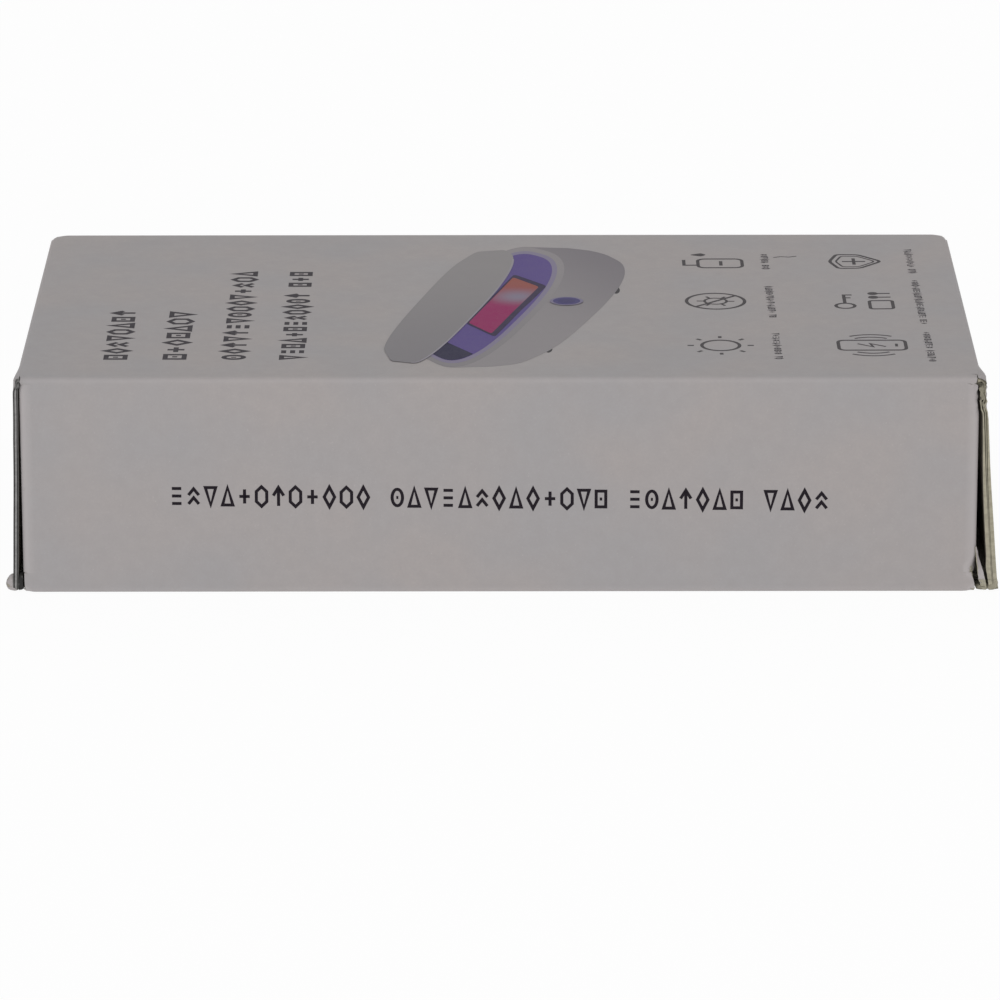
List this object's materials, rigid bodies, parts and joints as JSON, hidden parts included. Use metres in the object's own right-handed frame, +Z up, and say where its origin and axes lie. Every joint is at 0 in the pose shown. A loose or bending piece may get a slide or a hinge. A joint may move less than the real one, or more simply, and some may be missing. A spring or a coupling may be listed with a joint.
{
  "type": "boxed phone sanitizer",
  "caption": "Closed tuck-end carton lying flat, with a moulded tray inside that holds a clamshell ultraviolet sanitizer for a phone.",
  "frame": {"origin": "under the middle of the whole part, on the surface that the carton lies on", "axes": "+X along the carton from its left end to its right end, +Y from the front panel to the back panel, +Z up"},
  "size_m": [0.2352, 0.13, 0.053],
  "materials": {
    "printed_board": "matte",
    "board_inside": "matte",
    "moulded_pulp": "matte",
    "grey_plastic": "satin",
    "violet_plastic": "satin",
    "dark_plastic": "satin",
    "button_plastic": "satin",
    "light_guide": "gloss",
    "soft_rubber": "matte",
    "steel": "satin",
    "copper_winding": "satin",
    "ferrite": "matte",
    "circuit_board": "satin",
    "component_black": "satin",
    "emitter": "gloss",
    "quartz": "gloss",
    "magnet_metal": "polished",
    "carrier_plastic": "matte"
  },
  "bodies": {
    "root": {"top_panel": "printed_board", "bottom_panel": "printed_board", "front_panel": "printed_board", "back_panel": "printed_board", "glue_flap": "board_inside", "pulp_tray": "moulded_pulp", "base_shell": "grey_plastic", "chamber_liner": "violet_plastic", "end_insert": "dark_plastic", "base_screws": "steel", "rubber_feet": "soft_rubber", "charging_coil": "copper_winding", "ferrite_plate": "ferrite", "coil_carrier": "carrier_plastic", "main_board": "circuit_board", "main_board_chips": "component_black", "base_led_board": "circuit_board", "base_uv_led": "emitter", "base_window": "quartz", "button_board": "circuit_board", "button_switch": "component_black", "ring_leds": "emitter", "light_ring": "light_guide", "usb_board": "circuit_board", "usb_socket": "steel", "lid_sensor": "component_black", "hinge_pin_left": "steel", "hinge_pin_right": "steel"},
    "closing_flap_left": {"closing_flap_left": "printed_board"},
    "tuck_tongue_left": {"tuck_tongue_left": "printed_board"},
    "dust_flap_front_left": {"dust_flap_front_left": "printed_board"},
    "dust_flap_back_left": {"dust_flap_back_left": "printed_board"},
    "closing_flap_right": {"closing_flap_right": "printed_board"},
    "tuck_tongue_right": {"tuck_tongue_right": "printed_board"},
    "dust_flap_front_right": {"dust_flap_front_right": "printed_board"},
    "dust_flap_back_right": {"dust_flap_back_right": "printed_board"},
    "lid": {"lid_shell": "grey_plastic", "lid_liner": "violet_plastic", "lid_seal": "soft_rubber", "lid_screws": "steel", "lid_led_boards": "circuit_board", "lid_uv_leds": "emitter", "lid_windows": "quartz", "lid_magnet": "magnet_metal"},
    "button": {"button_cap": "button_plastic"}
  },
  "joints": [
    {"name": "closing_flap_left_hinge", "type": "hinge", "parent": "root", "child": "closing_flap_left", "pos_m": [-0.11425, 0, 0.0524], "axis": [0, 1, 0], "range_deg": [0, 175]},
    {"name": "tuck_tongue_left_fold", "type": "hinge", "parent": "closing_flap_left", "child": "tuck_tongue_left", "pos_m": [-0.1156, 0, 0.00225], "axis": [0, 1, 0], "range_deg": [0, 43.75]},
    {"name": "dust_flap_front_left_fold", "type": "hinge", "parent": "root", "child": "dust_flap_front_left", "pos_m": [-0.11275, -0.0644, 0.0265], "axis": [0, 0, 1], "range_deg": [0, 78.75]},
    {"name": "dust_flap_back_left_fold", "type": "hinge", "parent": "root", "child": "dust_flap_back_left", "pos_m": [-0.11275, 0.0644, 0.0265], "axis": [0, 0, -1], "range_deg": [0, 78.75]},
    {"name": "closing_flap_right_hinge", "type": "hinge", "parent": "root", "child": "closing_flap_right", "pos_m": [0.11365, 0, 0.0524], "axis": [0, -1, 0], "range_deg": [0, 175]},
    {"name": "tuck_tongue_right_fold", "type": "hinge", "parent": "closing_flap_right", "child": "tuck_tongue_right", "pos_m": [0.11635, 0, 0.0015], "axis": [0, -1, 0], "range_deg": [0, 43.75]},
    {"name": "dust_flap_front_right_fold", "type": "hinge", "parent": "root", "child": "dust_flap_front_right", "pos_m": [0.11145, -0.0644, 0.0265], "axis": [0, 0, -1], "range_deg": [0, 78.75]},
    {"name": "dust_flap_back_right_fold", "type": "hinge", "parent": "root", "child": "dust_flap_back_right", "pos_m": [0.11145, 0.0644, 0.0265], "axis": [0, 0, 1], "range_deg": [0, 78.75]},
    {"name": "lid_hinge", "type": "hinge", "parent": "root", "child": "lid", "pos_m": [-0.00065, 0.0565, 0.0277], "axis": [-1, 0, 0], "range_deg": [0, 3.4]},
    {"name": "button_press", "type": "slide", "parent": "root", "child": "button", "axis": [0, 1, 0], "range_m": [0, 0.0006], "stiffness_N_per_m": 1000}
  ],
  "couplings": [
    {"joint": "tuck_tongue_left_fold", "follows": "closing_flap_left_hinge", "ratio": 0.25},
    {"joint": "dust_flap_front_left_fold", "follows": "closing_flap_left_hinge", "ratio": 0.45},
    {"joint": "dust_flap_back_left_fold", "follows": "closing_flap_left_hinge", "ratio": 0.45},
    {"joint": "tuck_tongue_right_fold", "follows": "closing_flap_right_hinge", "ratio": 0.25},
    {"joint": "dust_flap_front_right_fold", "follows": "closing_flap_right_hinge", "ratio": 0.45},
    {"joint": "dust_flap_back_right_fold", "follows": "closing_flap_right_hinge", "ratio": 0.45}
  ]
}
